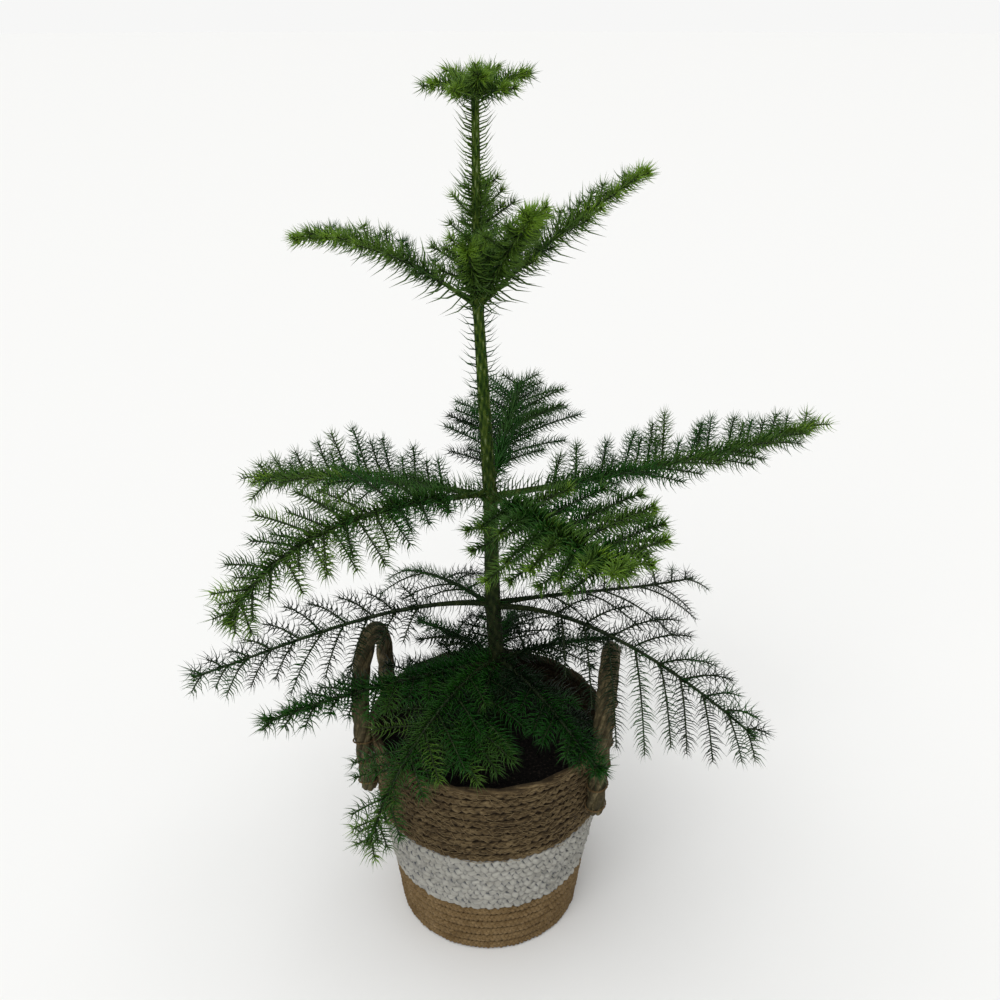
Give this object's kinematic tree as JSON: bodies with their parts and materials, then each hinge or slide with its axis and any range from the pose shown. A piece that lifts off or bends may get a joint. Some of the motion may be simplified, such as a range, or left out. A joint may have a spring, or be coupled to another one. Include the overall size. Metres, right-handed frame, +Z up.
{
  "type": "potted norfolk island pine",
  "caption": "Young araucaria, a Norfolk Island pine with tiers of feathery boughs, potted in a banded woven basket with rope handles.",
  "frame": {"origin": "centre of the basket's flat underside, on the surface it stands on", "axes": "+Z up the trunk, +X to the right and +Y away from the viewer of the picture; one handle faces about +X, the other about -X"},
  "size_m": [0.5534, 0.4174, 0.7376],
  "materials": {
    "bark": "matte olive-green young bark",
    "foliage": "satin green needles",
    "soil": "matte dark potting soil",
    "brown_seagrass": "matte plaited seagrass, brown",
    "white_seagrass": "matte plaited seagrass, white",
    "golden_jute": "matte plaited jute, golden brown",
    "seagrass_rope": "matte twisted seagrass rope"
  },
  "bodies": {
    "root": {"basket_foot_band": "golden_jute", "basket_white_band": "white_seagrass", "basket_top_band": "brown_seagrass", "handle_right": "seagrass_rope", "handle_left": "seagrass_rope", "soil": "soil", "trunk": "bark", "upper_bough_1": "bark", "upper_bough_2": "bark", "upper_bough_3": "bark", "upper_bough_4": "bark", "upper_bough_5": "bark", "middle_bough_1": "bark", "middle_bough_2": "bark", "middle_bough_3": "bark", "middle_bough_4": "bark", "middle_bough_5": "bark", "lower_bough_1": "bark", "lower_bough_2": "bark", "lower_bough_3": "bark", "lower_bough_4": "bark", "bottom_bough_1": "bark", "bottom_bough_2": "bark", "bottom_bough_3": "bark", "bottom_bough_4": "bark", "bottom_bough_5": "bark", "bottom_bough_6": "bark", "bottom_bough_7": "bark", "bottom_bough_8": "bark", "top_foliage_1": "foliage", "top_foliage_2": "foliage", "top_foliage_3": "foliage", "top_foliage_4": "foliage", "top_foliage_5": "foliage", "top_foliage_6": "foliage", "top_foliage_7": "foliage", "upper_foliage_1": "foliage", "upper_foliage_2": "foliage", "upper_foliage_3": "foliage", "upper_foliage_4": "foliage", "upper_foliage_5": "foliage", "middle_foliage_1": "foliage", "middle_foliage_2": "foliage", "middle_foliage_3": "foliage", "middle_foliage_4": "foliage", "middle_foliage_5": "foliage", "lower_foliage_1": "foliage", "lower_foliage_2": "foliage", "lower_foliage_3": "foliage", "lower_foliage_4": "foliage", "bottom_foliage_1": "foliage", "bottom_foliage_2": "foliage", "bottom_foliage_3": "foliage", "bottom_foliage_4": "foliage", "bottom_foliage_5": "foliage", "bottom_foliage_6": "foliage", "bottom_foliage_7": "foliage", "bottom_foliage_8": "foliage", "leader_tip": "foliage"}
  },
  "joints": []
}
